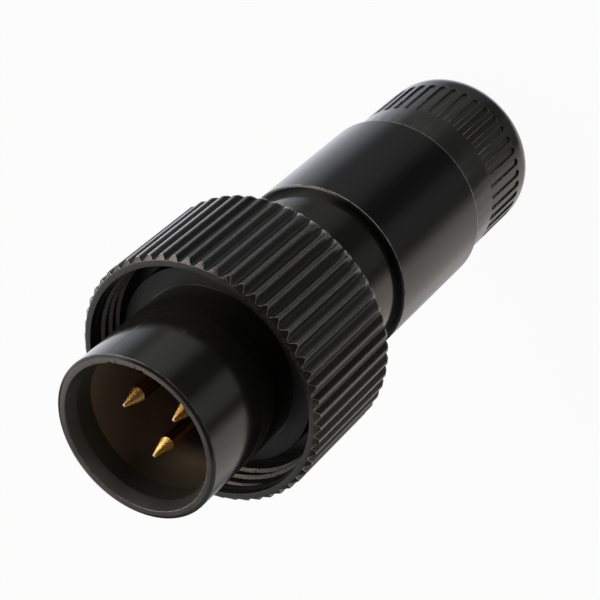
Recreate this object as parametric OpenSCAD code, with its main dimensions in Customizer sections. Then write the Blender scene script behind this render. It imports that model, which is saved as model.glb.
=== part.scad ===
// Miniature three pin plug with a screw locking ring, turned parts standing on the cable end.
// Millimetres. The plug axis is Z, the cable end is at Z = 0 and the mouth faces up.
// The keyway in the mouth faces -Y.

/* [Mouth sleeve] */
// Outside diameter of the sleeve
sleeve_od = 10; // [9:0.05:11]
// Wall of the sleeve around the mouth
sleeve_wall = 0.78; // [0.6:0.01:1]
// Length of the sleeve in front of the flange
sleeve_len = 7.8; // [6.5:0.1:10]
// Depth of the mouth, from the rim to the face of the insert
mouth_depth = 8.6; // [8:0.1:9.4]
// Width of the bevel on the outer edge of the rim
rim_bevel = 0.22; // [0.1:0.02:0.3]
// Depth of that bevel
rim_drop = 0.09; // [0.04:0.01:0.2]
// Width of the lead-in cone, seen from the front
lead_in_w = 0.28; // [0.15:0.01:0.4]
// Length of the lead-in cone
lead_in_len = 0.73; // [0.3:0.01:1.2]
// Width of the keyway in the mouth
keyway_w = 2.26; // [1.5:0.02:2.8]
// Depth of the keyway below the bore
keyway_depth = 0.25; // [0.15:0.01:0.3]

/* [Shell body] */
// How far the flange that stops the coupling nut stands out from the collar
flange_lip = 0.95; // [0.6:0.05:1.1]
// Thickness of the flange
flange_t = 1.2; // [0.8:0.1:1.8]
// How far the collar that the coupling nut slides on lies inside the barrel's outside
collar_step = 0.43; // [0.3:0.01:0.6]
// Length of the collar between flange and barrel
collar_len = 10.1; // [9.5:0.1:14]
// Wall of the rear spigot that the barrel screws on
spigot_wall = 0.6; // [0.45:0.05:0.8]
// How far the lip that the insert stops against stands in from the bore
lip_step = 0.3; // [0.2:0.05:0.5]
// Thickness of that lip
lip_t = 0.7; // [0.4:0.05:1.2]
// Length of the rear spigot
spigot_len = 3.3; // [2.5:0.1:4]

/* [Contacts] */
// Diameter of a contact pin
pin_d = 0.92; // [0.8:0.02:1]
// Diameter of the shank that holds a pin in the insert
shank_d = 1.3; // [1.2:0.02:1.4]
// Diameter of the circle that the pins stand on
pin_circle_d = 3.66; // [3.3:0.02:4]
// How far the middle of that circle lies from the axis, away from the keyway
pin_shift = 0.2; // [0:0.02:0.3]
// Depth of the pin tips below the rim
tip_depth = 1.45; // [1:0.05:2.5]
// Length of the pointed end
point_len = 1.25; // [0.8:0.05:1.6]
// Diameter of the blunt nose
nose_d = 0.2; // [0.1:0.02:0.3]
// Diameter of the solder cup
cup_d = 1.3; // [1.1:0.05:1.6]
// Length of the solder cup
cup_len = 3; // [2:0.1:4]
// Bore of the solder cup
cup_bore = 0.9; // [0.7:0.05:1]
// Depth of the bore in the solder cup
cup_depth = 2.3; // [1.5:0.1:2.6]
// Length of the insert behind the lip
insert_len = 4.5; // [3.5:0.1:6]
// Width of the key that stops the insert from turning
insert_key_w = 1.2; // [0.8:0.1:1.6]
// Thickness of the ring that locks the insert
ring_t = 1.4; // [1:0.1:2]
// Wall of the ring that locks the insert
ring_wall = 0.95; // [0.6:0.05:1.2]
// Width of the two spanner slots in that ring
ring_slot_w = 0.8; // [0.6:0.1:1.2]
// Depth of the spanner slots
ring_slot_depth = 0.6; // [0.3:0.1:0.8]
// Wall of the insulating tube
tube_wall = 0.5; // [0.3:0.05:0.7]

/* [Coupling nut] */
// Diameter over the ribs
nut_od = 15.36; // [15:0.02:16.5]
// Number of ribs
rib_count = 56; // [40:1:60]
// Angle of the first groove from +X
rib_turn = 2.4; // [0:0.1:6]
// Depth of the grooves between the ribs
rib_depth = 0.26; // [0.15:0.01:0.32]
// Width of the floor of a groove
groove_floor = 0.2; // [0.1:0.02:0.3]
// Wall of the threaded cup, from the thread's roots to the crests of the ribs
nut_wall = 0.68; // [0.6:0.02:0.9]
// Depth of the threaded cup in front of the web
nut_cup = 3.2; // [2.8:0.1:4.5]
// Thickness of the web that slides on the collar
nut_web = 4.6; // [3:0.1:4.8]
// Bevel at the mouth of the threaded cup
nut_mouth_bevel = 0.07; // [0.02:0.01:0.15]
// Width across the radius of the front bevel over the ribs
nut_front_bevel = 0.52; // [0.3:0.02:0.52]
// Drop along the axis of the front bevel
nut_front_drop = 0.22; // [0.1:0.02:0.34]
// Width across the radius of the rear bevel over the ribs
nut_rear_bevel = 0.2; // [0.1:0.02:0.34]
// Drop along the axis of the rear bevel
nut_rear_drop = 0.12; // [0.06:0.02:0.3]
// Thickness of the cord of the friction ring
friction_cord_d = 0.9; // [0.7:0.05:1.2]

/* [Barrel] */
// Outside diameter of the barrel
barrel_od = 11.16; // [10.9:0.02:12]
// Wall of the barrel over the spigot
barrel_wall = 0.83; // [0.7:0.01:1]
// Wall of the barrel over the neck of the cap
barrel_rear_wall = 1.23; // [1:0.01:1.4]
// Length of the barrel
barrel_len = 9.4; // [9.2:0.1:12]
// Bevel on the edges of the barrel
barrel_bevel = 0.1; // [0.05:0.01:0.2]
// Thickness of the inner web
barrel_web = 1; // [0.8:0.1:1.6]
// How far the inner web stands in from the bore behind it
web_step = 0.85; // [0.5:0.05:1.2]

/* [Cable end] */
// How far the rear cap lies inside the barrel's outside
cap_step = 0.38; // [0.2:0.02:0.6]
// Length of the rear cap behind the barrel
cap_len = 8.7; // [8.2:0.1:11]
// Rounding of the rear end of the cap
cap_round = 1.85; // [1.2:0.05:2.2]
// Wall of the threaded neck of the cap
neck_wall = 0.8; // [0.7:0.05:1]
// Diameter of the cable hole
cable_hole = 4; // [3.4:0.1:4.4]
// Thickness of the rear wall around the cable hole
cap_wall = 3; // [2.4:0.1:3.4]
// Length of the clamping cone inside the cap
cone_len = 2.4; // [1.6:0.1:3]
// Bevel at the cable hole
hole_bevel = 0.3; // [0.1:0.05:0.5]
// Number of flutes around the cap
flute_count = 42; // [30:1:48]
// Angle of the first flute from +X
flute_turn = 2.5; // [0:0.1:8]
// Width of a flute
flute_w = 0.4; // [0.3:0.01:0.46]
// Depth of a flute
flute_depth = 0.11; // [0.08:0.01:0.3]
// Length of a flute
flute_len = 3.7; // [3:0.05:4.4]
// Smooth band between barrel and flutes
flute_band = 2.6; // [2:0.05:3]
// Wall of the clamp fingers around the cable
finger_wall = 1.1; // [0.7:0.05:1.3]
// Wall of the clamp fingers at their tips
finger_tip = 0.3; // [0.2:0.05:0.5]
// Thickness of the disc at the front of the clamp
clamp_disc_t = 0.8; // [0.5:0.1:1]
// Number of clamp fingers
finger_count = 4; // [3:1:6]
// Width of the slots between the fingers
finger_slot_w = 0.6; // [0.4:0.05:0.9]

/* [Fits] */
// Radial clearance of the coupling nut on the collar
nut_fit = 0.05; // [0.02:0.01:0.1]
// Radial clearance of threaded and sliding pieces inside
inner_fit = 0.05; // [0.02:0.01:0.1]
// Radial clearance of the pins in the insert
pin_fit = 0.02; // [0.01:0.01:0.05]
// Free gap where pieces meet end to end but move apart
end_gap = 0.1; // [0.05:0.05:0.2]
// Free gap between the clamp and the inside of the cap
clamp_gap = 0.3; // [0.2:0.05:0.5]
// Free gap between the shoulder of the cap and the barrel
seat_gap = 0.03; // [0.02:0.01:0.1]

/* [Hidden] */

// Fineness of curves, overlap of joined solids and overrun of cuts
$fn = 96;
eps = 0.01;
over = 1;

// Heights along the axis, from the cable end to the rim
barrel_rear = cap_len + seat_gap;
barrel_front = barrel_rear + barrel_len;
flange_rear = barrel_front + collar_len;
flange_front = flange_rear + flange_t;
rim = flange_front + sleeve_len;
insert_face = rim - mouth_depth;
lip_rear = insert_face - lip_t;
insert_rear = lip_rear - insert_len;
ring_rear = insert_rear - ring_t;
spigot_rear = barrel_front - spigot_len;
web_front = spigot_rear - end_gap;
web_rear = web_front - barrel_web;
nut_seat = flange_rear - end_gap;
nut_front = nut_seat + nut_cup;
nut_rear = nut_seat - nut_web;
clamp_front = web_rear - end_gap;
clamp_disc_rear = clamp_front - clamp_disc_t;
neck_front = clamp_disc_rear - clamp_gap;
cone_rear = cap_wall;
cone_front = cone_rear + cone_len;
flute_top = cap_len - flute_band;

// Diameters that follow from walls, steps and fits
mouth_d = sleeve_od - 2 * sleeve_wall;
collar_d = barrel_od - 2 * collar_step;
flange_d = collar_d + 2 * flange_lip;
barrel_thread_d = barrel_od - 2 * barrel_wall;
spigot_d = barrel_thread_d - 2 * inner_fit;
shell_bore = spigot_d - 2 * spigot_wall;
lip_bore = shell_bore - 2 * lip_step;
thread_d = nut_od - 2 * nut_wall;
barrel_rear_bore = barrel_od - 2 * barrel_rear_wall;
web_opening = barrel_rear_bore - 2 * web_step;
neck_d = barrel_rear_bore - 2 * inner_fit;
neck_bore = neck_d - 2 * neck_wall;
cap_d = barrel_od - 2 * cap_step;

// Radii that follow from the fits
keyway_floor = mouth_d / 2 + keyway_depth;
insert_r = shell_bore / 2 - inner_fit;
boss_r = lip_bore / 2 - inner_fit;
web_bore_r = collar_d / 2 + nut_fit;
friction_r = collar_d / 2 + friction_cord_d / 2 + nut_fit / 2;
friction_groove_r = friction_r + friction_cord_d / 2 + nut_fit / 2;
friction_groove_w = friction_cord_d + nut_fit;
friction_z = (nut_seat + nut_rear) / 2;
clamp_disc_r = barrel_rear_bore / 2 - inner_fit;
groove_mouth = groove_floor + 2 * (rib_depth + over);
cone_slope = (neck_bore - cable_hole) / 2 / cone_len;
finger_r = neck_bore / 2 - clamp_gap;
clamp_bore = 2 * (finger_r - finger_wall);
finger_tip_r = clamp_bore / 2 + finger_tip;
finger_end = cone_rear + (finger_tip_r + clamp_gap - cable_hole / 2) / cone_slope;

// Side of the keyway, and the places of the contacts around their circle from that side
keyway_angle = -90;
function pin_angle(i) = [60, -60, 180][i - 1];

shell_colour = [0.05, 0.05, 0.055];
barrel_colour = [0.07, 0.07, 0.075];
nut_colour = [0.12, 0.12, 0.12];
gold_colour = [0.85, 0.62, 0.25];
insert_colour = [0.3, 0.19, 0.11];
ring_colour = [0.6, 0.6, 0.62];
tube_colour = [0.85, 0.84, 0.8];
rubber_colour = [0.03, 0.03, 0.03];
clamp_colour = [0.1, 0.1, 0.1];

// Half section of a round bar with its upper outer edge rounded
module bar_section(r, low, high, round_high) {
    square_section(0, r - round_high, low, high);
    square_section(0, r, low, high - round_high);
    translate([r - round_high, high - round_high]) circle(r = round_high, $fn = 48);
}

// Half section of a round bar with its upper outer edge bevelled
module bevelled_section(r, low, high, bevel, drop) {
    polygon([[0, low], [r, low], [r, high - drop], [r - bevel, high], [0, high]]);
}

// Rectangle of a half section
module square_section(r0, r1, low, high) {
    translate([r0, low]) square([r1 - r0, high - low]);
}

// Drum between two heights
module drum(d, low, high) {
    translate([0, 0, low]) cylinder(d = d, h = high - low);
}

// Copies around the axis
module around(count) {
    for (i = [0 : count - 1]) rotate(i * 360 / count) children();
}

// Everything that stands at the place of contact i
module at_pin(i) {
    rotate(keyway_angle) translate([-pin_shift, 0, 0])
        rotate(pin_angle(i)) translate([pin_circle_d / 2, 0, 0]) children();
}

// Sleeve, flange, collar and spigot turned from one bar
module front_shell() {
    color(shell_colour) difference() {
        rotate_extrude() {
            bevelled_section(sleeve_od / 2, flange_front - eps, rim, rim_bevel, rim_drop);
            square_section(0, flange_d / 2, flange_rear, flange_front);
            square_section(0, collar_d / 2, barrel_front, flange_rear + eps);
            square_section(0, spigot_d / 2, spigot_rear, barrel_front + eps);
        }
        drum(mouth_d, insert_face, rim + over);
        translate([0, 0, rim - lead_in_len])
            cylinder(d1 = mouth_d, d2 = mouth_d + 2 * lead_in_w, h = lead_in_len + eps);
        drum(lip_bore, lip_rear - over, insert_face + over);
        drum(shell_bore, spigot_rear - over, lip_rear);
        rotate(keyway_angle) translate([0, -keyway_w / 2, insert_face])
            cube([keyway_floor, keyway_w, mouth_depth + over]);
        rotate(keyway_angle) translate([0, -insert_key_w / 2 - inner_fit, lip_rear - eps])
            cube([shell_bore / 2, insert_key_w + 2 * inner_fit, lip_t + 2 * eps]);
    }
}

// Moulded insulator: a boss through the lip and a body behind it
module contact_insert() {
    color(insert_colour) difference() {
        union() {
            drum(2 * boss_r, lip_rear - eps, insert_face);
            drum(2 * insert_r, insert_rear, lip_rear);
            intersection() {
                drum(2 * insert_r, lip_rear - eps, insert_face);
                rotate(keyway_angle) translate([0, -insert_key_w / 2, lip_rear - eps])
                    cube([shell_bore / 2, insert_key_w, lip_t + eps]);
            }
        }
        for (i = [1 : 3]) at_pin(i)
            drum(shank_d + 2 * pin_fit, insert_rear - over, insert_face + over);
    }
}

// Turned contact: pointed pin, shank in the insert, solder cup with a cut-away side
module contact_pin(i) {
    tip = rim - tip_depth;
    color(gold_colour) at_pin(i) difference() {
        union() {
            translate([0, 0, tip - point_len])
                cylinder(d1 = pin_d, d2 = nose_d, h = point_len, $fn = 48);
            translate([0, 0, insert_face - eps])
                cylinder(d = pin_d, h = tip - point_len - insert_face + eps, $fn = 48);
            translate([0, 0, insert_rear - eps])
                cylinder(d = shank_d, h = insert_face - insert_rear + eps, $fn = 48);
            translate([0, 0, insert_rear - cup_len]) cylinder(d = cup_d, h = cup_len, $fn = 48);
        }
        translate([0, 0, insert_rear - cup_len - over])
            cylinder(d = cup_bore, h = cup_depth + over, $fn = 48);
        translate([0, -cup_d, insert_rear - cup_len - over]) cube([cup_d, 2 * cup_d, cup_depth + over]);
    }
}

// Threaded ring with two spanner slots that locks the insert in the shell
module insert_ring() {
    color(ring_colour) difference() {
        drum(2 * insert_r, ring_rear, insert_rear);
        drum(2 * (insert_r - ring_wall), ring_rear - over, insert_rear + over);
        translate([-shell_bore, -ring_slot_w / 2, ring_rear - over])
            cube([2 * shell_bore, ring_slot_w, ring_slot_depth + over]);
    }
}

// Tube that keeps the solder joints off the metal
module insulating_tube() {
    color(tube_colour) difference() {
        drum(2 * insert_r, web_front, ring_rear);
        drum(2 * (insert_r - tube_wall), web_front - over, ring_rear + over);
    }
}

// Cross section of the ribbed rim
module rib_section() {
    root_r = nut_od / 2 - rib_depth;
    difference() {
        circle(d = nut_od, $fn = 180);
        rotate(rib_turn) around(rib_count) polygon([
            [root_r, -groove_floor / 2],
            [nut_od / 2 + over, -groove_mouth / 2],
            [nut_od / 2 + over, groove_mouth / 2],
            [root_r, groove_floor / 2]]);
    }
}

// Outline that bevels both ends of the ribs
module nut_envelope() {
    r = nut_od / 2;
    rotate_extrude($fn = 180) polygon([
        [0, nut_rear], [r - nut_rear_bevel, nut_rear], [r, nut_rear + nut_rear_drop],
        [r, nut_front - nut_front_drop], [r - nut_front_bevel, nut_front], [0, nut_front]]);
}

// Ribbed nut: threaded cup in front, web that runs on the collar behind
module coupling_nut() {
    color(nut_colour) difference() {
        intersection() {
            translate([0, 0, nut_rear]) linear_extrude(height = nut_front - nut_rear) rib_section();
            nut_envelope();
        }
        drum(thread_d, nut_seat, nut_front + over);
        translate([0, 0, nut_front - nut_mouth_bevel])
            cylinder(d1 = thread_d, d2 = thread_d + 2 * nut_mouth_bevel, h = nut_mouth_bevel + eps);
        drum(2 * web_bore_r, nut_rear - over, nut_seat + over);
        drum(2 * friction_groove_r, friction_z - friction_groove_w / 2,
            friction_z + friction_groove_w / 2);
    }
}

// Rubber ring in the web that keeps the nut where it is put
module friction_ring() {
    color(rubber_colour) translate([0, 0, friction_z]) rotate_extrude()
        translate([friction_r, 0]) circle(d = friction_cord_d, $fn = 32);
}

// Outline of the barrel with bevelled edges
module barrel_outline() {
    r = barrel_od / 2;
    rotate_extrude() polygon([
        [0, barrel_rear], [r - barrel_bevel, barrel_rear], [r, barrel_rear + barrel_bevel],
        [r, barrel_front - barrel_bevel], [r - barrel_bevel, barrel_front], [0, barrel_front]]);
}

// Back shell that screws on the spigot and takes the cap
module barrel() {
    color(barrel_colour) difference() {
        barrel_outline();
        drum(barrel_thread_d, web_front, barrel_front + over);
        drum(web_opening, web_rear - over, web_front + over);
        drum(barrel_rear_bore, barrel_rear - over, web_rear);
    }
}

// Slotted clamp whose fingers close on the cable inside the cone
module cable_clamp() {
    color(clamp_colour) difference() {
        union() {
            drum(2 * clamp_disc_r, clamp_disc_rear, clamp_front);
            drum(2 * finger_r, cone_front - eps, clamp_disc_rear + eps);
            translate([0, 0, finger_end])
                cylinder(r1 = finger_tip_r, r2 = finger_r, h = cone_front - finger_end);
        }
        drum(clamp_bore, finger_end - over, clamp_front + over);
        around(finger_count) translate([0, -finger_slot_w / 2, finger_end - over])
            cube([neck_bore, finger_slot_w, clamp_disc_rear - finger_end + over]);
    }
}

// Stadium outline of one flute
module flute_section() {
    end_r = flute_w / 2;
    translate([end_r - flute_len, -end_r]) square([flute_len - flute_w, flute_w]);
    translate([-end_r, 0]) circle(r = end_r, $fn = 32);
    translate([end_r - flute_len, 0]) circle(r = end_r, $fn = 32);
}

// Fluted nut that squeezes the clamp, with a rounded end around the cable hole
module rear_cap() {
    color(shell_colour) difference() {
        union() {
            rotate_extrude() mirror([0, 1]) bar_section(cap_d / 2, -cap_len, 0, cap_round);
            drum(neck_d, cap_len - eps, neck_front);
        }
        drum(cable_hole, -over, cone_rear + over);
        translate([0, 0, -eps])
            cylinder(d1 = cable_hole + 2 * hole_bevel, d2 = cable_hole, h = hole_bevel);
        translate([0, 0, cone_rear]) cylinder(d1 = cable_hole, d2 = neck_bore, h = cone_len);
        drum(neck_bore, cone_front - eps, neck_front + over);
        rotate(flute_turn) around(flute_count) translate([cap_d / 2 - flute_depth, 0, flute_top])
            rotate([0, -90, 0]) mirror([0, 0, 1])
                linear_extrude(height = flute_depth + over) flute_section();
    }
}

front_shell();
contact_insert();
contact_pin(1);  // contact_pin_1
contact_pin(2);  // contact_pin_2
contact_pin(3);  // contact_pin_3
insert_ring();
insulating_tube();
coupling_nut();
friction_ring();
barrel();
cable_clamp();
rear_cap();
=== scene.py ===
import math

import bmesh
import bpy
import numpy as np
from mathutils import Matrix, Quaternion, Vector


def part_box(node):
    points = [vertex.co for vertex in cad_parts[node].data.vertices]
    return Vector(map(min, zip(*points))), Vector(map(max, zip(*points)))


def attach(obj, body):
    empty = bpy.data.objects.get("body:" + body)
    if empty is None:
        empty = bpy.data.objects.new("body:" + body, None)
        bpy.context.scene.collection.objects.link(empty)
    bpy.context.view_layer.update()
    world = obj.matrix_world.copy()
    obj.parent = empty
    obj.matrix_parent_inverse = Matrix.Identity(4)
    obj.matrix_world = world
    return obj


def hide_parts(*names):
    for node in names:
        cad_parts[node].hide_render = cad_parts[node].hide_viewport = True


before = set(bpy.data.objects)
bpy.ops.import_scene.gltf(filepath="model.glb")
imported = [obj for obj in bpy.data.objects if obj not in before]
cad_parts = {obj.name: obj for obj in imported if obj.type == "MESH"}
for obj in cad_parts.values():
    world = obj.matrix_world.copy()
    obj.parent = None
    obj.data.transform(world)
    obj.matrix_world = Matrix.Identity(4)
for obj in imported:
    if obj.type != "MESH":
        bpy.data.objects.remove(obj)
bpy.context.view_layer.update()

# Camera
# A long lens looks down into the mouth of the standing plug, on the keyway side.
# The picture is rolled so that the cable end points to the upper right corner.
MM = 0.001
camera_place = Vector((-57.6273, -61.1513, 108.1447)) * MM
camera_aim = Vector((-0.800, -0.235, 21.774)) * MM
camera_roll = math.radians(-132.046)

lens = bpy.data.cameras.new("lens")
lens.lens = 125.91
lens.sensor_width = 36.0
lens.clip_start = MM
camera = bpy.data.objects.new("camera", lens)
bpy.context.scene.collection.objects.link(camera)
camera.location = camera_place
camera.rotation_mode = "QUATERNION"
sight_line = (camera_aim - camera_place).to_track_quat("-Z", "Y")
camera.rotation_quaternion = sight_line @ Quaternion((0, 0, 1), camera_roll)
bpy.context.scene.camera = camera
bpy.context.scene.view_settings.view_transform = "Standard"


# Studio
# Soft light fields stand round the plug on both flanks and behind it, with dark cards on the
# viewer's side, so black plating shows bright flanks and a dark middle. The sweep itself is white.
class Wire:
    """A socket of a shader tree. Sums on it add Math nodes, and add() makes any other node."""

    def __init__(self, tree, socket=None):
        self.tree = tree
        self.socket = socket

    def fill(self, node, inputs):
        for name, value in inputs.items():
            if isinstance(value, Wire):
                self.tree.links.new(value.socket, node.inputs[name])
            else:
                node.inputs[name].default_value = value

    def add(self, kind, settings={}, inputs={}, output=0):
        node = self.tree.nodes.new(kind)
        for name, value in settings.items():
            setattr(node, name, value)
        self.fill(node, inputs)
        return Wire(self.tree, node.outputs[output])

    def math(self, operation, *values):
        return self.add("ShaderNodeMath", {"operation": operation}, dict(enumerate(values)))

    def vector(self, operation, *values, output=0):
        settings = {"operation": operation}
        return self.add("ShaderNodeVectorMath", settings, dict(enumerate(values)), output)

    def smooth(self, low, high):
        """0 below low, 1 above high, with a soft passage between them."""
        limits = {"Value": self, "From Min": low, "From Max": high}
        return self.add("ShaderNodeMapRange", {"interpolation_type": "SMOOTHSTEP"}, limits)

    def blend(self, colour, other):
        """The first colour where this value is 0, the other where it is 1."""
        return self.add("ShaderNodeMix", {"data_type": "RGBA"}, {0: self, 6: colour, 7: other}, 2)

    def tint(self, colour):
        """A colour scaled by this value."""
        return self.add("ShaderNodeVectorMath", {"operation": "SCALE"}, {0: colour, "Scale": self})

    def __add__(self, other):
        return self.math("ADD", self, other)

    def __sub__(self, other):
        return self.math("SUBTRACT", self, other)

    def __rsub__(self, other):
        return self.math("SUBTRACT", other, self)

    def __mul__(self, other):
        return self.math("MULTIPLY", self, other)

    def __truediv__(self, other):
        return self.math("DIVIDE", self, other)

    def __rtruediv__(self, other):
        return self.math("DIVIDE", other, self)

    __radd__ = __add__
    __rmul__ = __mul__


white = (1.0, 1.0, 1.0, 1.0)
cool_white = (0.96, 0.98, 1.06)
warm_white = (1.05, 1.0, 0.93)
plain_white = (1.0, 1.0, 1.0)

world = bpy.data.worlds.new("studio")
world.use_nodes = True
bpy.context.scene.world = world
air = Wire(world.node_tree)
direction = air.add("ShaderNodeTexCoord", output="Generated")
heading = direction.vector("NORMALIZE", direction.vector("MULTIPLY", direction, (1.0, 1.0, 0.0)))
rise = direction.add("ShaderNodeSeparateXYZ", {}, {0: direction}, "Z")


def light_field(azimuth, core, edge, strength=1.0):
    """A soft field of light round an azimuth: full within core, gone beyond edge, in degrees."""
    axis = (math.cos(math.radians(azimuth)), math.sin(math.radians(azimuth)), 0.0)
    facing = heading.vector("DOT_PRODUCT", heading, axis, output="Value")
    return facing.smooth(math.cos(math.radians(edge)), math.cos(math.radians(core))) * strength


high = rise.smooth(-0.3, 0.05)
low = 1.0 - high
shallow = rise.smooth(-0.76, -0.66)
raised = rise.smooth(0.1, 0.46) * (1.0 - rise.smooth(0.78, 0.88))
level = rise.smooth(-0.3, -0.1) * (1.0 - rise.smooth(0.3, 0.5))
right_flank = (light_field(8, 8, 66, strength=0.85) + light_field(22, 6, 40, strength=0.45)) * low
left_flank = light_field(135, 12, 55, strength=0.72) * (1.0 - light_field(-165, 8, 42)) * low
behind = light_field(74, 12, 38) * (0.65 - shallow * 0.45) * low
left_strip = light_field(-162, 3, 24) * (0.1 + shallow * 0.24) * low
right_strip = light_field(-80, 8, 34) * (0.12 + shallow * 0.3) * low
overhead = light_field(-5, 15, 85, strength=0.95) * raised
back_lamp = light_field(112, 20, 60, strength=0.34) * raised
side_lamp = light_field(-46, 10, 38, strength=2.4) * raised
window = light_field(-18, 12, 42, strength=1.2) * level
room_glow = 0.05
glow = air.add("ShaderNodeCombineXYZ", {}, {0: room_glow, 1: room_glow, 2: room_glow})
for field, colour in (
    (right_flank, cool_white),
    (left_flank, warm_white),
    (behind, plain_white),
    (left_strip, plain_white),
    (right_strip, plain_white),
    (overhead, plain_white),
    (back_lamp, plain_white),
    (side_lamp, warm_white),
    (window, plain_white),
):
    glow = glow.vector("ADD", glow, field.tint(colour))
seen_by_camera = air.add("ShaderNodeLightPath", output="Is Camera Ray")
sky = seen_by_camera.blend(glow, white)
background = world.node_tree.nodes["Background"]
air.fill(background, {"Color": sky, "Strength": 1.0})

floor_size = 3.0
floor_mesh = bpy.data.meshes.new("floor")
half = floor_size / 2
floor_corners = [(-half, -half, 0), (half, -half, 0), (half, half, 0), (-half, half, 0)]
floor_mesh.from_pydata(floor_corners, [], [(0, 1, 2, 3)])
floor = bpy.data.objects.new("floor", floor_mesh)
bpy.context.scene.collection.objects.link(floor)
floor.visible_glossy = False

paper = bpy.data.materials.new("white_paper")
paper.use_nodes = True
paper_grey = (0.9, 0.9, 0.9, 1.0)
paper_glow = 0.95
sheet = Wire(paper.node_tree)
matt_paper = paper.node_tree.nodes["Principled BSDF"]
sheet.fill(matt_paper, {"Base Color": paper_grey, "Roughness": 0.9})
lit_paper = Wire(paper.node_tree, matt_paper.outputs[0])
bright_paper = sheet.add("ShaderNodeEmission", {}, {"Color": white, "Strength": 1.0})
camera_share = sheet.add("ShaderNodeLightPath", output="Is Camera Ray") * paper_glow
paper_mix = sheet.add("ShaderNodeMixShader", {}, {0: camera_share, 1: lit_paper, 2: bright_paper})
sheet.fill(paper.node_tree.nodes["Material Output"], {"Surface": paper_mix})
floor.data.materials.append(paper)


# Front shell
# The mouth sleeve, flange, collar and spigot, turned from one brass bar and plated gloss black.
# The rim is bevelled outside, coned inside, and a flat keyway is milled down the mouth.
def outline(*corners):
    """Half section (radius, height, wear) through corners.

    A corner is (radius, height), then its rounding, then how worn it is.
    """
    points = []
    steps = 4
    for i, corner in enumerate(corners):
        here = np.array(corner[:2], float)
        fillet = corner[2] if len(corner) > 2 else 0.0
        wear = corner[3] if len(corner) > 3 else 0.0
        if fillet == 0:
            points.append((*here, wear))
            continue
        to_last = np.array(corners[i - 1][:2]) - here
        to_next = np.array(corners[(i + 1) % len(corners)][:2]) - here
        last_length = np.linalg.norm(to_last)
        next_length = np.linalg.norm(to_next)
        reach = min(fillet, last_length / 2, next_length / 2)
        start = here + to_last * reach / max(last_length, 1e-9)
        end = here + to_next * reach / max(next_length, 1e-9)
        for step in range(steps + 1):
            share = step / steps
            curve = (1 - share) ** 2 * start + 2 * share * (1 - share) * here + share**2 * end
            points.append((*curve, wear * math.sin(math.pi * share)))
    return np.array(points)


def skin(name, grid, sharp=35.0):
    """A closed surface through a grid [column][row] of points (radius, angle, height, wear)."""
    columns, rows = grid.shape[:2]
    radius, angle, height, wear = np.moveaxis(grid, 2, 0)
    places = np.stack([radius * np.cos(angle), radius * np.sin(angle), height], axis=2) * MM
    index = np.arange(columns * rows).reshape(columns, rows)
    across = np.roll(index, -1, axis=0)
    along = np.roll(index, -1, axis=1)
    both = np.roll(across, -1, axis=1)
    faces = np.stack([index, across, both, along], axis=2).reshape(-1, 4)
    mesh = bpy.data.meshes.new(name)
    mesh.from_pydata(places.reshape(-1, 3).tolist(), [], faces.tolist())
    worn_edges = mesh.attributes.new("wear", "FLOAT", "POINT")
    worn_edges.data.foreach_set("value", wear.astype(np.float32).ravel())
    work = bmesh.new()
    work.from_mesh(mesh)
    bmesh.ops.remove_doubles(work, verts=work.verts, dist=1e-7)
    bmesh.ops.dissolve_degenerate(work, edges=work.edges, dist=1e-8)
    bmesh.ops.recalc_face_normals(work, faces=work.faces)
    work.to_mesh(mesh)
    work.free()
    mesh.shade_smooth()
    mesh.set_sharp_from_angle(angle=math.radians(sharp))
    piece = bpy.data.objects.new(name, mesh)
    bpy.context.scene.collection.objects.link(piece)
    flats = piece.modifiers.new("flats", "WEIGHTED_NORMAL")
    flats.keep_sharp = True
    return piece


def turned(name, section, columns=240):
    """A piece turned on the lathe from a closed half section."""
    angles = np.linspace(0, 2 * math.pi, columns, endpoint=False)
    grid = np.empty((columns, len(section), 4))
    grid[:, :, 0] = section[None, :, 0]
    grid[:, :, 1] = angles[:, None]
    grid[:, :, 2] = section[None, :, 1]
    grid[:, :, 3] = section[None, :, 2]
    return skin(name, grid)


def extent(node):
    """Lowest and highest point along the axis of a solid, in millimetres."""
    bottom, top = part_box(node)
    return bottom.z / MM, top.z / MM


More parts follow.
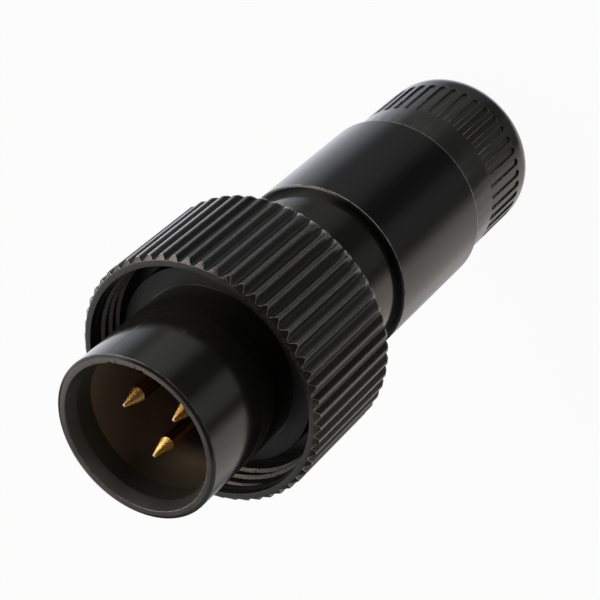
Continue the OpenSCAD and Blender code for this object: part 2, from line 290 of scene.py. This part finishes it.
class Finish:
    """A new surface finish, with the places on the piece that its patterns are worked out from."""

    def __init__(self, name):
        self.material = bpy.data.materials.new(name)
        self.material.use_nodes = True
        tree = self.material.node_tree
        self.wire = Wire(tree)
        metres = self.wire.add("ShaderNodeTexCoord", output="Object")
        self.place = metres.vector("MULTIPLY", metres, (1 / MM, 1 / MM, 1 / MM))
        self.x = self.place.add("ShaderNodeSeparateXYZ", {}, {0: self.place}, "X")
        self.y = self.place.add("ShaderNodeSeparateXYZ", {}, {0: self.place}, "Y")
        self.z = self.place.add("ShaderNodeSeparateXYZ", {}, {0: self.place}, "Z")
        self.radius = self.x.math("SQRT", self.x * self.x + self.y * self.y)
        self.wear = self.wire.add("ShaderNodeAttribute", {"attribute_name": "wear"}, output="Fac")

    def towards(self, azimuth):
        """How far a point lies round the axis towards an azimuth: 1 on it, -1 opposite."""
        ahead = self.x * math.cos(math.radians(azimuth))
        aside = self.y * math.sin(math.radians(azimuth))
        return (ahead + aside) / self.radius

    def noise(self, vector, scale, detail=2.0, roughness=0.5):
        values = {"Vector": vector, "Scale": scale, "Detail": detail, "Roughness": roughness}
        return self.wire.add("ShaderNodeTexNoise", {}, values, "Fac")

    def lathe_lines(self, fineness, length):
        """Fine lines left by the turning tool, running round the axis."""
        turn_x = self.x / self.radius * length
        turn_y = self.y / self.radius * length
        feed = (self.radius + self.z) * fineness
        track = self.wire.add("ShaderNodeCombineXYZ", {}, {0: turn_x, 1: turn_y, 2: feed})
        return self.noise(track, 1.0, 3.0, 0.6)

    def bump(self, height, depth):
        """A normal that follows a height pattern, with its depth in millimetres."""
        relief = {"Height": height, "Distance": depth * MM, "Strength": 1.0}
        return self.wire.add("ShaderNodeBump", {}, relief)

    def surface(self, inputs):
        self.wire.fill(self.material.node_tree.nodes["Principled BSDF"], inputs)
        return self.material


spigot_rear, rim = extent("front_shell")
barrel_rear, barrel_front = extent("barrel")
insert_face = extent("contact_insert")[1]
sleeve_r = 5.0
rim_bevel = 0.22
rim_drop = 0.09
mouth_r = 4.22
lead_in_r = 4.5
lead_in_length = 0.73
keyway_floor = 4.47
keyway_half = 1.13
flange_r = 6.1
flange_front = rim - 7.8
flange_rear = flange_front - 1.2
collar_r = 5.15
spigot_r = 4.7
shell_bore_r = 4.1
lip_r = 3.8
lip_rear = insert_face - 0.7
lip_slot_half = 0.65
keyway_angle = math.radians(-90)
corner_angle = math.atan2(keyway_half, keyway_floor)
wall_angle = math.asin(keyway_half / mouth_r)
slot_angle = math.asin(lip_slot_half / lip_r)


def shell_section(offset):
    """Half section of the shell at an angle from the middle of the keyway."""
    side = abs(offset)
    keyway = 0.0
    if side <= corner_angle:
        keyway = keyway_floor / math.cos(side)
    elif side < wall_angle:
        keyway = keyway_half / math.sin(side)
    bore = max(mouth_r, keyway)
    lead_in = lead_in_length * max(0.0, lead_in_r - bore) / (lead_in_r - mouth_r)
    lip = shell_bore_r if side < slot_angle else lip_r
    return outline(
        (bore, insert_face),
        (bore, rim - lead_in),
        (max(lead_in_r, keyway), rim, 0.04, 1.0),
        (sleeve_r - rim_bevel, rim, 0.02),
        (sleeve_r, rim - rim_drop, 0.05, 0.9),
        (sleeve_r, flange_front),
        (flange_r, flange_front, 0.05),
        (flange_r, flange_rear, 0.05),
        (collar_r, flange_rear),
        (collar_r, barrel_front),
        (spigot_r, barrel_front),
        (spigot_r, spigot_rear, 0.1),
        (shell_bore_r, spigot_rear),
        (shell_bore_r, lip_rear),
        (lip, lip_rear),
        (lip, insert_face),
    )


keyway_columns = np.concatenate([
    np.linspace(-corner_angle, corner_angle, 23),
    np.linspace(corner_angle, wall_angle, 5)[1:],
    np.linspace(wall_angle, 2 * math.pi - wall_angle, 220)[1:-1],
    np.linspace(-wall_angle, -corner_angle, 5)[:-1] + 2 * math.pi,
])
columns = []
for offset in keyway_columns:
    nearest = offset if offset < math.pi else offset - 2 * math.pi
    section = shell_section(nearest)
    turn = np.full(len(section), keyway_angle + offset)
    columns.append(np.stack([section[:, 0], turn, section[:, 1], section[:, 2]], axis=1))
sleeve = skin("plated_shell", np.array(columns))
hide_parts("front_shell")
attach(sleeve, "plug_body")

plate = Finish("gloss_black_plate")
plate_ior = 1.58
plate_black = (0.014, 0.014, 0.0128, 1.0)
plate_worn = (0.34, 0.295, 0.245, 1.0)
rim_brown = (0.052, 0.039, 0.026, 1.0)
rim_highlight = (0.125, 0.108, 0.088, 1.0)
cone_grey = (0.060, 0.061, 0.054, 1.0)
cone_lit_grey = (0.172, 0.176, 0.160, 1.0)
cone_shade_black = (0.012, 0.012, 0.011, 1.0)
bore_olive = (0.105, 0.098, 0.075, 1.0)
bore_dark = (0.022, 0.022, 0.017, 1.0)
bore_brown = (0.42, 0.33, 0.23, 1.0)
bore_umber = (0.045, 0.037, 0.026, 1.0)
bore_tan = (0.39, 0.295, 0.20, 1.0)
thin_plate_depth = 1.95
brown_depth = 2.2
tan_depth = 6.5
shade_depth = 4.4
dark_depth = 6.2
lines = plate.lathe_lines(9.0, 2.5)
cloud = plate.noise(plate.place, 0.9)
worn = (plate.wear * plate.noise(plate.place, 3.0)).smooth(0.1, 0.75)
dull = plate.radius.smooth(sleeve_r + 0.02, sleeve_r + 0.08) * plate.z.smooth(flange_rear - 0.05, flange_rear)
in_mouth = 1.0 - plate.radius.smooth(lead_in_r + 0.12, lead_in_r + 0.16)
inside = in_mouth * (1.0 - plate.z.smooth(rim - 0.03, rim - 0.01))
cone = inside * plate.z.smooth(rim - lead_in_length - 0.02, rim - lead_in_length)
brown = 1.0 - plate.z.smooth(rim - thin_plate_depth - 0.06, rim - thin_plate_depth)
deep = 1.0 - plate.z.smooth(rim - tan_depth, rim - brown_depth)
# Painted light and shade in the bore: it is lighter on the side towards azimuth -10 and darker opposite, and
# a painted shadow darkens it deep down on the side towards azimuth 100.
bore_lit_side = plate.towards(-10).smooth(0.3, 0.9)
shadow = plate.towards(100).smooth(0.6, 0.95) * (1.0 - plate.z.smooth(rim - dark_depth, rim - shade_depth))
warm_colour = deep.blend(bore_lit_side.blend(bore_umber, bore_brown), bore_tan)
brown_colour = shadow.blend(warm_colour, bore_umber)
olive_colour = bore_lit_side.blend(bore_dark, bore_olive)
# Painted light and shade on the lead-in cone: lighter towards azimuth 10, darker and rougher towards azimuth
# 130.
shaded = plate.towards(130).smooth(0.55, 0.95)
bright_side = plate.towards(10).smooth(0.5, 0.95)
cone_colour = shaded.blend(bright_side.blend(cone_grey, cone_lit_grey), cone_shade_black)
bore_colour = cone.blend(brown.blend(olive_colour, brown_colour), cone_colour)
# The rim flat gets random brown patches, and is painted lighter on the side towards azimuth -60 as a painted
# highlight.
on_rim = plate.z.smooth(rim - 0.012, rim - 0.004)
patch = plate.noise(plate.place, 0.8, 3.0, 0.6).smooth(0.35, 0.65) * on_rim
rim_lit_side = plate.towards(-60).smooth(0.2, 0.8) * on_rim
outer_colour = rim_lit_side.blend(patch.blend(plate_black, rim_brown), rim_highlight)
outer_gloss = 0.12 + cloud * 0.05 + worn * 0.15 + dull * 0.36 + on_rim * 0.16
sleeve.data.materials.append(plate.surface({
    "Base Color": worn.blend(inside.blend(outer_colour, bore_colour), plate_worn),
    "Roughness": outer_gloss + inside * 0.2 + cone * (0.15 + shaded * 0.35),
    "IOR": plate_ior,
    "Normal": plate.bump(lines, 0.0012),
}))


# Contact pins
# Three brass pins, turned to a point with a small domed nose, gold plated and pressed into the insert.
# The turning tool left coarse rings on the points; the shafts are polished. The shafts' dark gold is painted
# shade, and the points carry painted light and a painted glint on the nose.
gold_bright = (1.0, 0.62, 0.19, 1.0)
gold_deep = (0.54, 0.25, 0.06, 1.0)
nose_glint = (1.0, 0.96, 0.90, 1.0)
gold_shaded = (0.25, 0.105, 0.03, 1.0)
point_length = 1.25
rings_per_mm = 15.0
ring_slope = 0.53
ring_wander = 0.9
nose_dome = 3.2
streak_scale = 3.2


def dress(node, material):
    """The finish of a solid that keeps its own shape."""
    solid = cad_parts[node]
    solid.data.materials.clear()
    solid.data.materials.append(material)


for pin in ("contact_pin_1", "contact_pin_2", "contact_pin_3"):
    gold = Finish("gold_plate")
    pin_foot, pin_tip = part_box(pin)
    pin_middle = (pin_foot + pin_tip) / 2 / MM
    point_base = pin_tip.z / MM - point_length
    across = gold.place.vector("MULTIPLY", gold.place, (1.0, 1.0, 0.0))
    from_axis = across.vector("DISTANCE", across, (pin_middle.x, pin_middle.y, 0.0), output="Value")
    facing = gold.wire.add("ShaderNodeTexCoord", output="Normal")
    # The nose, which faces up, is painted near white: a painted glint.
    nose = facing.add("ShaderNodeSeparateXYZ", {}, {0: facing}, "Z").smooth(0.8, 0.95)
    around = facing.vector("MULTIPLY", facing, (streak_scale, streak_scale, 0.0))
    # Painted light and shade on the pins: streaks that follow which way the surface faces, and a lighter side
    # facing the plug's axis, mixed with the real grain of the turned points.
    facing_light_streaks = gold.noise(around, 1.0).smooth(0.4, 0.6)
    axis_side_light = facing.vector("DOT_PRODUCT", facing, (-pin_middle.x, -pin_middle.y, 0.0), output="Value")
    pointed = gold.z.smooth(point_base - 0.05, point_base + 0.02)
    grain = gold.noise(gold.place, 14.0, 3.0, 0.6)
    feed = gold.z * rings_per_mm + grain * ring_wander
    ring_step = (1.0 - feed.math("FRACT", feed)) * ring_slope / rings_per_mm
    grain_and_light_tone = (grain * 0.55 + facing_light_streaks * 0.3 + axis_side_light.smooth(-1.2, 1.2) * 0.4).smooth(0.35, 0.85)
    point_colour = grain_and_light_tone.blend(gold_deep, gold_bright)
    # The shafts are painted dark gold, a painted shade, streaked by facing direction.
    shaft_shade_colour = facing_light_streaks.blend(gold_shaded, gold_deep)
    dress(pin, gold.surface({
        "Base Color": nose.blend(pointed.blend(shaft_shade_colour, point_colour), nose_glint),
        "Metallic": 1.0,
        "Roughness": 0.13 + pointed * 0.11 + grain * 0.06,
        "Normal": gold.bump(ring_step * pointed - from_axis * from_axis * nose * nose_dome, 1.0),
    }))

# Insert, lock ring and insulating tube
# A brown moulded insulator holds the pins, a slotted nickel ring locks it in the shell,
# and a pale plastic tube keeps the solder joints off the metal.
moulding = Finish("brown_moulding")
moulding_brown = (0.30, 0.185, 0.105, 1.0)
moulding_dark = (0.21, 0.125, 0.07, 1.0)
flow = moulding.noise(moulding.place, 1.4, 4.0)
dress("contact_insert", moulding.surface({
    "Base Color": flow.smooth(0.3, 0.7).blend(moulding_dark, moulding_brown),
    "Roughness": 0.42 + flow * 0.2,
    "Normal": moulding.bump(moulding.noise(moulding.place, 9.0), 0.006),
}))

nickel = Finish("nickel_plate")
nickel_grey = (0.62, 0.61, 0.58, 1.0)
nickel_dull = (0.50, 0.48, 0.45, 1.0)
nickel_lines = nickel.lathe_lines(12.0, 2.0)
dress("insert_ring", nickel.surface({
    "Base Color": nickel_lines.blend(nickel_dull, nickel_grey),
    "Metallic": 1.0,
    "Roughness": 0.25 + nickel_lines * 0.2,
    "Normal": nickel.bump(nickel_lines, 0.004),
}))

pale = Finish("pale_tube")
pale_plastic = (0.78, 0.77, 0.72, 1.0)
pale_shade = (0.70, 0.68, 0.62, 1.0)
haze = pale.noise(pale.place, 0.8, 3.0)
dress("insulating_tube", pale.surface({
    "Base Color": haze.smooth(0.3, 0.7).blend(pale_shade, pale_plastic),
    "Roughness": 0.5 + haze * 0.15,
    "Normal": pale.bump(pale.noise(pale.place, 6.0), 0.008),
}))

# Coupling nut
# A brass ring with milled V ribs, bevelled at both ends, plated satin black. Its cup is threaded
# in front, and the web behind runs on the collar. The cutter's chatter shows on the groove floors.
nut_rear, nut_front = extent("coupling_nut")
rib_count = 56
first_groove = math.radians(2.4)
crest_r = 7.68
rib_depth = 0.26
groove_floor = 0.2
nut_seat = nut_front - 3.2
cup_r = 7.0
mouth_relief = 0.07
mouth_relief_depth = 0.55
front_bevel = 0.27
front_drop = 0.27
rear_bevel = 0.14
rear_drop = 0.34
web_bore_r = 5.2
ring_groove_r = 6.125
ring_groove_half = 0.475
ring_middle = (nut_seat + nut_rear) / 2
rib_pitch = 2 * math.pi / rib_count
root_r = crest_r - rib_depth
rib_edge = 0.09
bevel_edge = 0.028
end_margin = 0.15

flank_end = groove_floor / 2 + rib_depth
crest_half = crest_r * math.sin(rib_pitch / 2)
half_groove = outline(
    (0.0, root_r),
    (groove_floor / 2, root_r, rib_edge),
    (flank_end, crest_r, rib_edge, 0.5),
    (crest_half, crest_r),
)[1:-1]
middle = np.array([[0.0, root_r, 0.0]])
# One edge of each groove gets less of the pale edge colour: a painted shade, so that only the other edge
# shows as a highlight.
shaded_edge_wear = 0.3
mirrored = half_groove[::-1] * np.array([-1.0, 1.0, shaded_edge_wear])
rib_top = np.array([[-crest_half, crest_r, 0.0]])
groove = np.concatenate([rib_top, mirrored, middle, half_groove])
groove_radius = np.minimum(np.hypot(groove[:, 0], groove[:, 1]), crest_r)
groove_angle = np.arctan2(groove[:, 0], groove[:, 1])


def nut_section(radius):
    """Half section of the nut where its rib section has this radius."""
    front_r = crest_r - front_bevel
    rear_r = crest_r - rear_bevel
    front_edge = nut_front - front_drop * (radius - front_r) / front_bevel
    rear_edge = nut_rear + rear_drop * max(0.0, radius - rear_r) / rear_bevel
    return outline(
        (cup_r, nut_seat),
        (cup_r, nut_front - mouth_relief_depth),
        (cup_r + mouth_relief, nut_front - mouth_relief_depth),
        (cup_r + mouth_relief, nut_front, 0.015, 0.3),
        (front_r, nut_front, bevel_edge),
        (radius, front_edge, bevel_edge, 1.0),
        (radius, front_edge - end_margin),
        (radius, rear_edge + end_margin),
        (radius, rear_edge, bevel_edge, 1.0),
        (min(rear_r, radius), nut_rear, bevel_edge, 0.5),
        (web_bore_r, nut_rear, 0.1),
        (web_bore_r, ring_middle - ring_groove_half),
        (ring_groove_r, ring_middle - ring_groove_half),
        (ring_groove_r, ring_middle + ring_groove_half),
        (web_bore_r, ring_middle + ring_groove_half),
        (web_bore_r, nut_seat, 0.1),
    )


nut_rows = len(nut_section(crest_r))
ribs = np.empty((rib_count * len(groove), nut_rows, 4))
for rib in range(rib_count):
    for i, (radius, angle) in enumerate(zip(groove_radius, groove_angle)):
        section = nut_section(radius)
        column = ribs[rib * len(groove) + i]
        column[:, 0] = section[:, 0]
        column[:, 1] = first_groove + rib * rib_pitch + angle
        column[:, 2] = section[:, 1]
        column[:, 3] = section[:, 2]
        outside = np.abs(section[:, 0] - radius) < 1e-6
        column[outside, 3] = np.maximum(column[outside, 3], groove[i, 2])
nut = skin("ribbed_nut", ribs)
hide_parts("coupling_nut")
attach(nut, "nut")

satin = Finish("ribbed_black_plate")
satin_black = (0.005, 0.005, 0.005, 1.0)
satin_grey = (0.032, 0.031, 0.029, 1.0)
worn_edge_highlight = (0.78, 0.75, 0.69, 1.0)
satin_dust = (0.11, 0.11, 0.105, 1.0)
facet_bare = (0.082, 0.075, 0.066, 1.0)
facet_dark = (0.045, 0.042, 0.038, 1.0)
crest_bare_and_lit = (0.62, 0.62, 0.64, 1.0)
chatter_pitch = 0.155
chatter_phase = satin.z * (2 * math.pi / chatter_pitch)
chatter = chatter_phase.math("SINE", chatter_phase)
speckle = satin.noise(satin.place, 7.0, 3.0, 0.65)
dust = satin.noise(satin.place, 13.0, 2.0, 0.6).smooth(0.7, 0.78)
# The edges are pale where the plating is rubbed, and as a painted highlight along them.
edge_wear_and_highlight = (satin.wear * (0.4 + speckle)).smooth(0.25, 0.9)
facing_front = satin.z.smooth(nut_front - front_drop - 0.03, nut_front - front_drop)
crest = satin.radius.smooth(crest_r - 0.06, crest_r - 0.03)
bevel_cone = nut_front - front_drop + crest_r
front_facet = (satin.z + satin.radius).smooth(bevel_cone - 0.03, bevel_cone - 0.01)
rear_cone = satin.radius - crest_r + (nut_rear + rear_drop - satin.z) * (rear_bevel / rear_drop)
rear_end = 1.0 - satin.z.smooth(nut_rear + rear_drop - 0.02, nut_rear + rear_drop)
rear_facet = rear_cone.smooth(-0.03, -0.01) * rear_end
facet = front_facet + rear_facet
tooled = (speckle + chatter * 0.16).smooth(0.4, 0.75)
plated = dust.blend(tooled.blend(satin_black, satin_grey), satin_dust)
facet_colour = speckle.smooth(0.4, 0.6).blend(facet_dark, facet_bare)
# The crests are painted barer and lighter towards azimuth -50, a painted highlight on top of their random
# rubbing.
crest_lit_side = satin.towards(-50).smooth(0.8, 0.97)
crest_wear_and_highlight = crest * (1.0 - facet) * (0.04 + speckle * 0.2 + crest_lit_side * 0.4)
bare_metal_and_highlights = facet.blend(crest_wear_and_highlight.blend(plated, crest_bare_and_lit), facet_colour)
tool_marks = chatter * 0.9 + speckle
nut.data.materials.append(satin.surface({
    "Base Color": edge_wear_and_highlight.blend(bare_metal_and_highlights, worn_edge_highlight),
    "Metallic": facet * 0.8 + crest_wear_and_highlight * 0.8,
    "Roughness": 0.27 + speckle * 0.16 - facing_front * 0.12 - crest * 0.17 - facet * 0.02,
    "IOR": plate_ior,
    "Normal": satin.bump(tool_marks * (1.0 - facing_front * 0.85) * (1.0 - crest), 0.006),
}))

# Thread of the coupling nut
# A helical ridge cut inside the cup, which screws on the socket.
# The plating on its flanks is rubbed through to grainy bare metal.
thread_pitch = 0.7
thread_turns = 2.9
thread_start = math.radians(140)
thread_top = nut_front - 0.82
thread_root_r = cup_r + 0.03
thread_crest_r = 6.8
crest_half_width = 0.05
foot_half_width = 0.19
run_out = 0.15
steps_per_turn = 144
thread_steps = int(thread_turns * steps_per_turn)
thread_points = []
for step in range(thread_steps + 1):
    turned_by = step / steps_per_turn
    from_end = min(turned_by, thread_turns - turned_by)
    cut = min(1.0, from_end / run_out)
    ridge_r = thread_root_r - (thread_root_r - thread_crest_r) * cut
    angle = thread_start - 2 * math.pi * turned_by
    height = thread_top - thread_pitch * turned_by
    ridge = outline(
        (thread_root_r, -foot_half_width),
        (ridge_r, -crest_half_width, 0.02),
        (ridge_r, crest_half_width, 0.02),
        (thread_root_r, foot_half_width),
    )
    for radius, offset, _ in ridge:
        across = radius * math.cos(angle)
        along = radius * math.sin(angle)
        thread_points.append((across * MM, along * MM, (height + offset) * MM))
thread_index = np.arange(len(thread_points)).reshape(thread_steps + 1, -1)
thread_next = np.roll(thread_index, -1, axis=1)
thread_faces = np.stack([thread_index[:-1], thread_next[:-1], thread_next[1:], thread_index[1:]], axis=2)
thread_mesh = bpy.data.meshes.new("nut_thread")
thread_mesh.from_pydata(thread_points, [], thread_faces.reshape(-1, 4).tolist())
work = bmesh.new()
work.from_mesh(thread_mesh)
bmesh.ops.remove_doubles(work, verts=work.verts, dist=1e-7)
bmesh.ops.holes_fill(work, edges=[edge for edge in work.edges if edge.is_boundary])
bmesh.ops.recalc_face_normals(work, faces=work.faces)
work.to_mesh(thread_mesh)
work.free()
thread_mesh.shade_smooth()
thread_mesh.set_sharp_from_angle(angle=math.radians(40))
thread = bpy.data.objects.new("nut_thread", thread_mesh)
bpy.context.scene.collection.objects.link(thread)
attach(thread, "nut")

flank = Finish("rubbed_thread")
flank_grey = (0.115, 0.107, 0.097, 1.0)
flank_brown = (0.15, 0.11, 0.082, 1.0)
flank_black = (0.012, 0.012, 0.011, 1.0)
flank_grain = flank.noise(flank.place, 9.0, 3.0, 0.7)
flank_patch = flank.noise(flank.place, 0.9, 2.0)
flank_metal = flank_patch.smooth(0.58, 0.68).blend(flank_grey, flank_brown)
thread.data.materials.append(flank.surface({
    "Base Color": flank_grain.smooth(0.36, 0.5).blend(flank_black, flank_metal),
    "Metallic": 0.9,
    "Roughness": 0.3 + flank_grain * 0.2,
    "Normal": flank.bump(flank_grain, 0.01),
}))

# Friction ring
# A round rubber cord in the nut's web that holds the nut where it is put.
# It is moulded and slightly dusty with talc.
rubber = Finish("black_rubber")
rubber_black = (0.018, 0.018, 0.018, 1.0)
rubber_dusty = (0.05, 0.05, 0.048, 1.0)
talc = rubber.noise(rubber.place, 4.0, 4.0, 0.7)
dress("friction_ring", rubber.surface({
    "Base Color": talc.smooth(0.5, 0.8).blend(rubber_black, rubber_dusty),
    "Roughness": 0.6 + talc * 0.2,
    "Normal": rubber.bump(talc, 0.01),
}))

# Barrel
# The back shell, a turned brass tube with an inner web, screwed on the spigot and plated satin black.
# The plating is rubbed to bare metal along both edges, and these edges are also painted near white as a thin
# painted highlight.
barrel_r = 5.58
barrel_bevel = 0.1
thread_bore_r = 4.75
web_front = spigot_rear - 0.1
web_rear = web_front - 1.0
web_opening_r = 3.5
rear_bore_r = 4.35
tube = turned("back_shell", outline(
    (thread_bore_r, web_front),
    (thread_bore_r, barrel_front, 0.04),
    (barrel_r - barrel_bevel, barrel_front, 0.03, 0.3),
    (barrel_r, barrel_front - barrel_bevel, 0.05, 0.76),
    (barrel_r, barrel_rear + barrel_bevel, 0.05, 1.0),
    (barrel_r - barrel_bevel, barrel_rear, 0.03, 0.6),
    (rear_bore_r, barrel_rear, 0.04),
    (rear_bore_r, web_rear),
    (web_opening_r, web_rear),
    (web_opening_r, web_front),
))
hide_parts("barrel")
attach(tube, "plug_body")

silk = Finish("satin_black_plate")
silk_black = (0.005, 0.005, 0.0055, 1.0)
silk_bare_highlight = (0.85, 0.83, 0.78, 1.0)
silk_lines = silk.lathe_lines(7.0, 1.2)
silk_cloud = silk.noise(silk.place, 0.5, 2.0)
# Both edges are painted near white: rubbed plating and a painted highlight.
bare_and_highlit_edges = (silk.wear * (0.55 + silk.noise(silk.place, 2.2))).smooth(0.45, 0.95)
tube.data.materials.append(silk.surface({
    "Base Color": bare_and_highlit_edges.blend(silk_black, silk_bare_highlight),
    "Metallic": bare_and_highlit_edges * 0.3,
    "Roughness": 0.17 + silk_lines * 0.05 + silk_cloud * 0.05,
    "IOR": plate_ior,
    "Normal": silk.bump(silk_lines, 0.0006),
}))

# Cable clamp
# A slotted nylon bush whose fingers the cap's cone closes on the cable.
# It is moulded, with a fine spark-eroded grain.
nylon = Finish("black_nylon")
nylon_black = (0.022, 0.022, 0.023, 1.0)
nylon_grey = (0.045, 0.045, 0.045, 1.0)
spark_grain = nylon.noise(nylon.place, 6.0, 3.0)
dress("cable_clamp", nylon.surface({
    "Base Color": spark_grain.smooth(0.35, 0.75).blend(nylon_black, nylon_grey),
    "Roughness": 0.45 + spark_grain * 0.2,
    "Normal": nylon.bump(spark_grain, 0.012),
}))

# Rear cap
# The fluted cable nut, turned from brass with round-ended flutes milled round it and a domed end,
# screwed into the barrel and plated gloss black. The flutes' edges are rubbed bare in places.
cap_low, neck_front = extent("rear_cap")
cap_r = 5.2
cap_top = 8.7
cap_round = 1.85
neck_r = 4.3
neck_bore_r = 3.5
cable_hole_r = 2.0
hole_bevel = 0.3
cone_rear = 3.0
cone_front = 5.4
flute_count = 42
first_flute = math.radians(2.5)
flute_half = 0.2
flute_floor_r = 5.09
flute_top = 6.1
flute_bottom = 2.4
flute_edge = 0.04
flute_pitch = 2 * math.pi / flute_count
end_half = 0.05

cap_above = outline(
    (neck_bore_r, cone_front),
    (neck_bore_r, neck_front),
    (neck_r, neck_front, 0.1),
    (neck_r, cap_top),
    (cap_r, cap_top, 0.06, 0.3),
    (cap_r, flute_top + 2 * flute_edge),
)
dome_steps = 14
dome = [
    (
        cap_r - cap_round + cap_round * math.cos(math.pi / 2 * step / dome_steps),
        cap_low + cap_round - cap_round * math.sin(math.pi / 2 * step / dome_steps),
        0.0,
    )
    for step in range(dome_steps + 1)
]
cap_below = np.concatenate([
    np.array([(cap_r, flute_bottom - 2 * flute_edge, 0.0)]),
    np.array(dome),
    outline(
        (cable_hole_r + hole_bevel, cap_low),
        (cable_hole_r, cap_low + hole_bevel),
        (cable_hole_r, cone_rear),
    ),
])

# Each milled flute is a row of stations down its length: height, half width, and depth of floor and edge
flute_rows = [
    (flute_top + flute_edge, end_half, 0.0, 0.0),
    (flute_top, end_half, flute_edge, flute_edge),
]
end_turn = math.asin(end_half / flute_half)
for share in np.linspace(0, 1, 6):
    turn = end_turn + (math.pi / 2 - end_turn) * share
    drop = flute_half * (math.cos(end_turn) - math.cos(turn))
    flute_rows.append((flute_top - drop, flute_half * math.sin(turn), cap_r - flute_floor_r, flute_edge))
flute_middle = (flute_top + flute_bottom) / 2
flute_rows += [(2 * flute_middle - h, w, d, e) for h, w, d, e in flute_rows[::-1]]

cap_columns = []
for flute in range(flute_count):
    centre = first_flute + flute * flute_pitch
    for side in (-1, 1):
        for station in ((0, 1, 2, 3, 4) if side < 0 else (3, 2, 1)):
            column = []
            for h, w, depth, edge in flute_rows:
                reach = (0.0, w + flute_edge, w, w, 0.0)[station]
                angle = -flute_pitch / 2 if station == 0 else side * math.asin(reach / cap_r)
                drop = (0.0, 0.0, edge, depth, depth)[station]
                wear = (0.0, 0.3, 1.0, 0.0, 0.0)[station] if edge else 0.0
                column.append((cap_r - drop, centre + angle, h, wear))
            band_angle = column[0][1]
            above = [(r, band_angle, h, w) for r, h, w in cap_above]
            below = [(r, band_angle, h, w) for r, h, w in cap_below]
            cap_columns.append(above + column + below)
cap = skin("fluted_cap", np.array(cap_columns))
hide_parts("rear_cap")
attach(cap, "cap")

knurl = Finish("fluted_black_plate")
knurl_black = (0.034, 0.034, 0.033, 1.0)
knurl_bare = (0.80, 0.76, 0.67, 1.0)
knurl_lines = knurl.lathe_lines(6.0, 2.0)
knurl_grain = knurl.noise(knurl.place, 8.0, 3.0, 0.65)
below_band = 1.0 - knurl.z.smooth(flute_top, flute_top + 0.05)
fluted = knurl.z.smooth(flute_bottom - 0.05, flute_bottom) * below_band
exposed = 0.6 + knurl.z.smooth(flute_bottom + 0.3, flute_top) * 0.4
chipped = (knurl.wear * knurl_grain * exposed).smooth(0.30, 0.50)
cap.data.materials.append(knurl.surface({
    "Base Color": chipped.blend(knurl_black, knurl_bare),
    "Roughness": 0.15 + knurl_lines * 0.05 + fluted * 0.12,
    "IOR": plate_ior,
    "Normal": knurl.bump(knurl_lines + knurl_grain * fluted, 0.003),
}))
